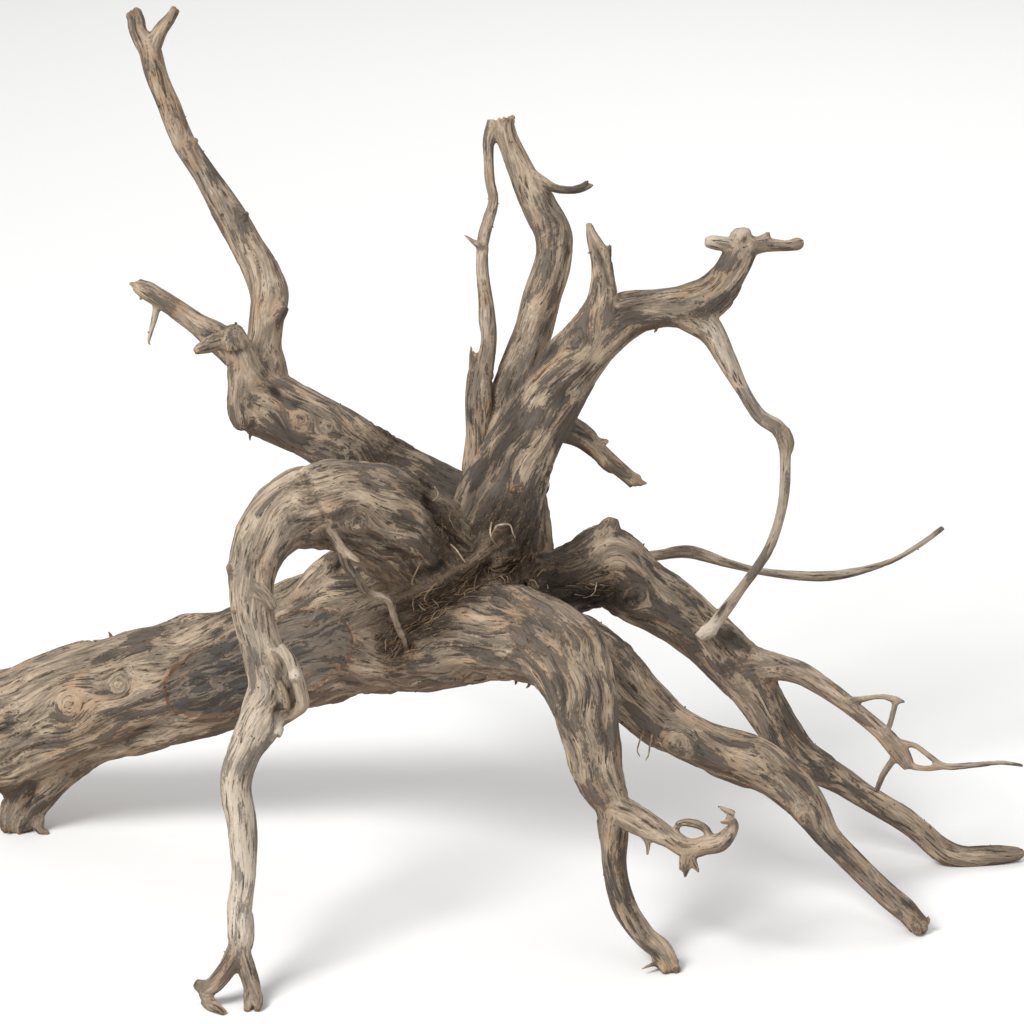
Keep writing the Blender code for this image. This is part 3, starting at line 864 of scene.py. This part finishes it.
def along_grain(across, along, detail=3.0, roughness=0.55):
    """Noise drawn out along the wood's fibres, about 0.5, carried over from limb to limb."""
    found = []
    for name in ("grain_other", "grain"):
        stretched = node("ShaderNodeVectorMath", {"operation": "MULTIPLY"}, mark(name, "Vector"),
                         (1 / across, 1 / across, 1 / along))
        found.append(node("ShaderNodeTexNoise", {}, Vector=stretched, Scale=1.0, Detail=detail,
                          Roughness=roughness))
    return mix(mark("share"), *found)


def lumps(size, detail=2.0, roughness=0.5):
    """Noise with lumps of one size, the same in all directions, about 0.5."""
    place = node("ShaderNodeTexCoord", {}, out="Object")
    return node("ShaderNodeTexNoise", {}, Vector=place, Scale=1 / size, Detail=detail,
                Roughness=roughness)


def colour(red, green, blue):
    """A colour given as it looks, 0 to 255, as the linear one that light works with."""
    return tuple(((c / 255 + 0.055) / 1.055) ** 2.4 for c in (red, green, blue)) + (1.0,)


def new_material(name):
    global tree
    material = bpy.data.materials.new(name)
    material.use_nodes = True
    tree = material.node_tree
    return material, tree.nodes["Principled BSDF"]


def connect(value, socket):
    tree.links.new(value.socket, socket)


LIGHT = colour(194, 174, 150)
MID = colour(142, 125, 107)
GREY = colour(120, 110, 98)
TAN = colour(170, 139, 110)
SILVER = colour(200, 186, 168)
CHARCOAL = colour(50, 45, 41)
SLATE = colour(73, 71, 69)
EARTH = colour(56, 44, 34)
EARTH_PALE = colour(134, 110, 84)
# Near black, laid as painted shade into folds, holes and cracks, and on the flat dark patches.
SHADE_AND_PATCH_BLACK = colour(24, 18, 13)
# An orange-brown that is painted shade on the undersides; on the bark scar's rim it is the rim's
# own colour.
UNDERSIDE_SHADE_AND_RIM_BROWN = colour(112, 80, 56)
FRESH = colour(160, 130, 100)
RINGS = 2900  # radians of growth ring to a metre, so a ring about every 2.2 mm

weathered_wood, surface = new_material("weathered_wood")
# The grain in three sizes, then specks and broad clouds that ignore the grain.
fibre = along_grain(0.0012, 0.020, 2.0)
streak = along_grain(0.0034, 0.040, 4.0, 0.66)
band = along_grain(0.0100, 0.060, 4.0, 0.62)
speck = lumps(0.0022, 3.0, 0.7)
cloud = lumps(0.036, 2.0)
bleach = mark("bleach")
# facing is how far the surface faces up; the colours below use it for painted top light and
# underside shade.
facing = node("ShaderNodeSeparateXYZ", {}, node("ShaderNodeNewGeometry", {}, out="Normal"), out=2)
# Bare wood under what is left of the bark.
bark_edge = mark("bark") * 0.8 + (streak - 0.5) * 3.4 + (band - 0.5) * 1.2 + (speck - 0.5) * 0.9
bark_edge = bark_edge + (cloud - 0.5) * 1.5
# The facing term lays bark plates and their rims a little more on the undersides, partly as painted
# shade.
dark = between(bark_edge - facing * 0.10, 0.16, 0.38)
rim = between(bark_edge - facing * 0.10, 0.02, 0.18) - dark
bare = paint(between(streak * 0.6 + band * 0.4, 0.44, 0.60), MID, LIGHT)
bare = paint(between(band + (fibre - 0.5) * 0.6, 0.48, 0.36) * 0.8, bare, GREY)
bare = paint(between(cloud + (band - 0.5) * 0.9, 0.50, 0.68) * 0.55, bare, TAN)
# Silver follows the bleach. The facing term adds more silver to upward faces as painted top light.
bare = paint(between(bleach + (streak - 0.5) * 1.2 + facing * 0.15, 0.35, 0.95), bare, SILVER)
plate = paint(between(cloud + (fibre - 0.5) + (band - 0.5), 0.46, 0.64), CHARCOAL, SLATE)
wood = paint(dark * (0.66 + fibre * 0.40 - bleach * 0.35), bare, plate)
wood = paint(between(streak + (fibre - 0.5) * 0.3, 0.60, 0.68) * 0.7, wood, CHARCOAL)
wood = paint(rim * 0.40, wood, EARTH)
# Painted shade: wood that faces down turns orange-brown.
wood = paint(between(-facing + (streak - 0.5) * 0.9, 0.05, 0.95) * 0.55, wood, UNDERSIDE_SHADE_AND_RIM_BROWN)
# Soil, the trunk's bark scar, painted shade in the folds, torn ends, the trunk's end grain, and
# fine cracks painted dark as shade.
soil_edge = mark("soil") + (streak - 0.5) * 1.5 + (speck - 0.5) * 0.3
soil = between(soil_edge, 0.22, 0.95)
crumbs = fibre * 0.5 + streak * 0.5 + (speck - 0.5) * 0.5
earth = paint(between(crumbs, 0.50, 0.70), EARTH, EARTH_PALE)
wood = paint(soil * 0.78, wood, earth)
scar = between(mark("scar"), 0.0, 0.08)
wood = paint(scar * (0.12 + 0.68 * between(streak * 0.5 + band * 0.5, 0.40, 0.56)), wood, SLATE)
# The bark scar's rim takes the same orange-brown, here as its own colour.
wood = paint(between(mark("rim"), 0.25, 0.85) * 0.85, wood, UNDERSIDE_SHADE_AND_RIM_BROWN)
# Painted shade: near black in the folds, holes and checks, and on the flat dark patches.
hollow_shade_and_patches = mark("hollow_shade_and_patches")
wood = paint(between(hollow_shade_and_patches + (fibre - 0.5) * 0.3, 0.12, 0.95) * 0.94, wood, SHADE_AND_PATCH_BLACK)
wood = paint(between(mark("fresh") + (speck - 0.5) * 0.6, 0.45, 0.85) * 0.5, wood, FRESH)
waves = mark("ring") * RINGS + cloud * 9 + streak * 3
ringed = node("ShaderNodeMath", {"operation": "SINE"}, waves)
end_grain = paint(between(ringed, -0.4, 0.9) * 0.4, MID, EARTH)
wood = paint(between(mark("end_grain"), 0.55, 0.75) * 0.85, wood, end_grain)
# Painted shade: thin dark lines in the fine cracks, which the bump also presses in.
hairline = between(0.40 - streak, 0.0, 0.06)
wood = paint(hairline * 0.65, wood, SHADE_AND_PATCH_BLACK)
# Finest tone and relief. The flute term also darkens the flutes' grooves and lightens their ridges,
# as painted shade.
shade = 0.62 + fibre * 0.46 + mark("flute") * 0.14 + (speck - 0.5) * 0.35
wood = node("ShaderNodeVectorMath", {"operation": "SCALE"}, wood, Scale=shade)
connect(wood, surface.inputs["Base Color"])
connect(0.92 - dark * 0.14 - bleach * 0.08, surface.inputs["Roughness"])
surface.inputs["Specular IOR Level"].default_value = 0.25
relief = fibre * 0.4 + streak * 0.9 + dark * 0.4 - hairline * 0.8 + speck * 0.3 + soil * speck * 1.4
connect(node("ShaderNodeBump", {}, Strength=0.9, Distance=1.0 * MM, Height=relief),
        surface.inputs["Normal"])
skin.data.materials.clear()
skin.data.materials.append(weathered_wood)


# ---- Root hairs, shreds and burrs ---------------------------------------------------------------
# Dry root hairs and curls stand off the crown; matted fibres of inner bark creep over its folds;
# short stubs of shed rootlets stud every limb. All still grow from the wood or cling to it.

THINNEST = 0.15 * MM  # radius of the finest hair
CREEP_STEP = 3  # mm between the stations of a creeping fibre
hair_rng = random.Random(4)
bark_tree = BVHTree.FromPolygons([v.co for v in skin.data.vertices],
                                 [p.vertices for p in skin.data.polygons])


class Tufts:
    """Thin tapering strands gathered into one mesh, each closed and with a tone of its own."""

    def __init__(self, name, sides):
        self.name = name
        self.sides = sides
        self.shape = bmesh.new()
        self.tone = self.shape.verts.layers.float.new("tone")

    def add(self, stations, tone, tip=0.25):
        """Adds a strand through (x, y, z, radius) stations in mm; tip is the share left there."""
        run = Limb(stations, twist=0)
        turns = [2 * math.pi * i / self.sides for i in range(self.sides)]
        last = None
        for i, (centre, side, up) in enumerate(zip(run.centre, run.side, run.up)):
            share = i / (len(run.centre) - 1)
            radius = max(run.radius[i], THINNEST) * (1 - (1 - tip) * share**2)
            ring = [self.shape.verts.new(centre + radius * (math.cos(t) * side + math.sin(t) * up))
                    for t in turns]
            for vert in ring:
                vert[self.tone] = tone
            if last:
                for a, b, c, d in zip(last, last[1:] + last[:1], ring[1:] + ring[:1], ring):
                    self.shape.faces.new((a, b, c, d))
            else:
                self.shape.faces.new(ring[::-1])
            last = ring
        self.shape.faces.new(last)

    def root(self, stations):
        """The stations moved so that the strand starts just under the surface of the wood."""
        start = Vector(stations[0][:3]) * MM
        found, outward, _, _ = bark_tree.find_nearest(start)
        move = (found - outward * 0.8 * MM - start) / MM
        return [(x + move.x, y + move.y, z + move.z, radius) for x, y, z, radius in stations]

    def finish(self, material):
        bmesh.ops.recalc_face_normals(self.shape, faces=self.shape.faces)
        mesh = bpy.data.meshes.new(self.name)
        self.shape.to_mesh(mesh)
        self.shape.free()
        mesh.materials.append(material)
        mesh.shade_smooth()
        piece = bpy.data.objects.new(self.name, mesh)
        bpy.context.scene.collection.objects.link(piece)
        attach(piece, "root")


def creep(place, heading, length, radius, lift, wander):
    """Stations of a fibre that creeps over the wood from a place in mm, mostly along a heading."""
    here = Vector(place) * MM
    ahead = Vector(heading).normalized()
    stations = []
    for step in range(max(3, round(length / CREEP_STEP))):
        found, outward, _, _ = bark_tree.find_nearest(here)
        bow = math.sin(math.pi * min(1, step * CREEP_STEP / length))
        stations.append((*(found + outward * (0.2 + lift * bow) * MM) / MM, radius))
        swerve = Vector([hair_rng.uniform(-1, 1) for _ in range(3)]) * wander
        ahead = (ahead + swerve).normalized()
        here = found + (ahead - outward * ahead.dot(outward)) * CREEP_STEP * MM
    return stations


dry_fibre, fibre_surface = new_material("dry_fibre")
tone = mark("tone")
strand_colour = paint(between(tone, 0.0, 0.5), EARTH, EARTH_PALE)
strand_colour = paint(between(tone, 0.5, 1.0), strand_colour, LIGHT)
connect(paint(between(lumps(0.004), 0.40, 0.65) * 0.5, strand_colour, CHARCOAL),
        fibre_surface.inputs["Base Color"])
fibre_surface.inputs["Roughness"].default_value = 0.85
fibre_surface.inputs["Specular IOR Level"].default_value = 0.2

# Matted fibres: a place, a heading, how many, how far they spread and how long they are, in mm.
MATS = [
    ((-78, -16, 204), (1, 0.1, 0.55), 34, 16, 36),
    ((-50, -18, 230), (1, 0.1, 0.5), 44, 17, 40),
    ((-22, -14, 252), (1, 0.2, 0.4), 40, 16, 34),
    ((8, 2, 262), (1, 0.1, 0.2), 26, 15, 26),
    ((-30, -14, 302), (0.3, 0.1, 1), 14, 13, 20),
    ((40, 10, 252), (0.6, 0.2, 0.6), 22, 14, 22),
    ((82, 22, 232), (1, 0.1, -0.3), 18, 18, 22),
    ((80, -30, 196), (0.8, -0.2, -0.6), 22, 14, 24),
    ((-84, -40, 290), (1, 0.3, -0.2), 10, 16, 22),
    ((-60, 60, 262), (1, 0, 0.2), 26, 26, 34),
    ((20, 70, 290), (0.3, 0, 1), 20, 22, 28),
]
mat = Tufts("bark_fibres", sides=4)
for place, heading, count, spread, length in MATS:
    for _ in range(count):
        start = [c + hair_rng.gauss(0, spread / 2) for c in place]
        run = creep(start, heading, length * hair_rng.uniform(0.5, 1.2),
                    radius=hair_rng.uniform(0.3, 0.8), lift=hair_rng.uniform(0.1, 1.0), wander=0.16)
        mat.add(run, tone=hair_rng.uniform(0.0, 0.6))
mat.finish(dry_fibre)

# Loose curls of root: how pale each is, and its points in mm.
CURL_RADIUS = 0.8
curls = Tufts("root_curls", sides=6)
for tone_of_it, run in [
    (1.0, [(2, -2, 296), (4, -8, 303), (10, -9, 305), (15, -6, 303), (17, -5, 296), (19, 0, 290)]),
    (0.9, [(3, -1, 300), (2, -7, 294), (4, -9, 288), (7, -8, 283), (9, -2, 278)]),
    (0.5, [(9, 0, 278), (6, -6, 284), (3, -6, 290), (6, -4, 296), (11, -3, 294)]),
    (0.8, [(-22, -10, 292), (-17, -16, 290), (-12, -18, 283), (-8, -14, 276)]),
    (0.7, [(-38, -10, 322), (-34, -18, 328), (-33, -20, 334), (-36, -18, 338)]),
    (0.4, [(-52, -40, 276), (-56, -52, 272), (-60, -54, 262), (-55, -50, 254)]),
    (0.4, [(-38, -36, 262), (-44, -44, 260), (-50, -46, 252), (-48, -42, 244)]),
    (0.3, [(-70, -24, 214), (-74, -32, 206), (-80, -34, 196), (-79, -30, 188)]),
    (0.5, [(22, 2, 330), (26, -6, 338), (31, -7, 340), (33, -2, 334), (31, 0, 326)]),
    (0.8, [(124, -62, 152), (121, -70, 146), (119, -71, 138), (121, -66, 131)]),
    (0.8, [(131, -62, 150), (129, -71, 144), (128, -72, 136), (126, -68, 130)]),
    (0.9, [(132, -62, 140), (137, -68, 143), (139, -69, 139)]),
    (0.9, [(62, 4, 236), (64, -2, 240), (66, 0, 237)]),
]:
    curls.add(curls.root([(*place, CURL_RADIUS) for place in run]), tone_of_it, tip=0.5)
for place, heading, count, spread, length in MATS:
    for _ in range(count // 4):
        start = Vector([c + hair_rng.gauss(0, spread / 2) for c in place]) * MM
        found, outward, _, _ = bark_tree.find_nearest(start)
        ahead = outward * 0.8 + Vector([hair_rng.uniform(-1, 1) for _ in range(3)]) * 0.9
        here = found - outward * MM
        run = []
        for _ in range(hair_rng.randint(4, 7)):
            run.append((*(here / MM), 0.5))
            ahead = (ahead + Vector([hair_rng.uniform(-1, 1) for _ in range(3)]) * 0.5
                     - Vector((0, 0, 0.25))).normalized()
            here = here + ahead * hair_rng.uniform(1.5, 3.2) * MM
        curls.add(run, hair_rng.uniform(0.2, 0.8), tip=0.4)
curls.finish(dry_fibre)

STRAY_STUBS = 330
STUB_CLEAR = 6 * MM  # no stray stub grows below this, so none reaches the ground
burrs = Tufts("rootlet_stubs", sides=5)


def stub(found, outward, height, tone_of_it):
    """A short stub of a shed rootlet, bent over a little."""
    lean = Vector([hair_rng.uniform(-0.6, 0.6) for _ in range(3)])
    ahead = (outward + lean).normalized() * height
    start = found - outward * 1.2 * MM
    middle = found + ahead * 0.5 * MM
    end = found + (ahead + lean * height * 0.3) * MM
    width = 0.55 + 0.28 * height
    burrs.add([(*(start / MM), width), (*(middle / MM), width * 0.7), (*(end / MM), width * 0.35)],
              tone_of_it, tip=0.6)


for place, height in [
    ((-322, 77, 151), 1.6), ((-275, 77, 166), 2.0), ((-315, 52, 97), 1.5), ((-308, 113, 158), 5.0),
    ((-192, 136, 330), 5.0), ((-195, -122, 271), 4.0), ((22, -46, 188), 5.0), ((50, -71, 183), 5.0),
    ((-20, -38, 190), 4.0), ((134, 73, 438), 5.0), ((-66, 20, 200), 3.5), ((33, -60, 186), 4.5),
    ((-206, -150, 172), 4.0), ((-146, -150, 150), 2.0), ((-110, 30, 178), 2.0),
    ((-60, -24, 205), 3.0),
    ((212, -40, 84), 3.0), ((268, 30, 110), 2.5), ((300, 14, 70), 3.0), ((372, 8, 52), 3.0),
    ((150, 34, 190), 2.5), ((-244, 132, 500), 3.5), ((-206, 140, 452), 3.0), ((56, 60, 500), 3.0),
]:
    found, outward, _, _ = bark_tree.find_nearest(Vector(place) * MM)
    stub(found, outward, height, 0.35)
polygons = skin.data.polygons
for _ in range(STRAY_STUBS):
    face = polygons[hair_rng.randrange(len(polygons))]
    height = hair_rng.choice((0.7, 0.9, 1.2, 1.8))
    if face.center.z > STUB_CLEAR:
        stub(face.center, face.normal, height, hair_rng.uniform(0.1, 0.5))
burrs.finish(dry_fibre)


# ---- Floor, light and camera --------------------------------------------------------------------
# A plain pale floor under broad studio light, seen from a little above.

FLOOR_REACH = 9.0  # metres from the middle to each side
floor_shape = bmesh.new()
bmesh.ops.create_grid(floor_shape, x_segments=1, y_segments=1, size=FLOOR_REACH)
floor_mesh = bpy.data.meshes.new("floor")
floor_shape.to_mesh(floor_mesh)
floor_shape.free()
floor = bpy.data.objects.new("floor", floor_mesh)
bpy.context.scene.collection.objects.link(floor)
pale, pale_surface = new_material("pale_floor")
pale_surface.inputs["Base Color"].default_value = (0.86, 0.86, 0.85, 1.0)
pale_surface.inputs["Roughness"].default_value = 0.9
floor_mesh.materials.append(pale)


def softbox(name, place, aim, size, power):
    """A square area light at a place, turned towards its aim."""
    light = bpy.data.lights.new(name, "AREA")
    light.size = size
    light.energy = power
    lamp = bpy.data.objects.new(name, light)
    bpy.context.scene.collection.objects.link(lamp)
    lamp.location = place
    lamp.rotation_euler = (Vector(aim) - Vector(place)).to_track_quat("-Z", "Y").to_euler()


middle = (0.0, 0.0, 0.3)
softbox("key", (-1.7, -1.6, 2.6), middle, 1.3, 105)
softbox("fill", (2.4, -1.6, 1.2), middle, 2.0, 10)
softbox("back", (0.6, 2.4, 2.2), middle, 2.0, 30)
world = bpy.data.worlds.new("studio")
bpy.context.scene.world = world
world.use_nodes = True
world.node_tree.nodes["Background"].inputs["Color"].default_value = (1.0, 1.0, 1.0, 1.0)
world.node_tree.nodes["Background"].inputs["Strength"].default_value = 0.55

AIM = Vector((0.019, 0.055, 0.289))
DISTANCE = 4.6
LOOKING_DOWN = math.radians(20)
SEEN_WIDTH = 0.8192  # metres of the aim's plane that fill the picture
SENSOR = 36.0
lens = bpy.data.cameras.new("camera")
lens.sensor_width = SENSOR
lens.lens = SENSOR * DISTANCE / SEEN_WIDTH
camera = bpy.data.objects.new("camera", lens)
bpy.context.scene.collection.objects.link(camera)
camera.location = AIM + DISTANCE * Vector((0, -math.cos(LOOKING_DOWN), math.sin(LOOKING_DOWN)))
camera.rotation_euler = (math.pi / 2 - LOOKING_DOWN, 0, 0)
bpy.context.scene.camera = camera
bpy.context.scene.view_settings.view_transform = "Standard"
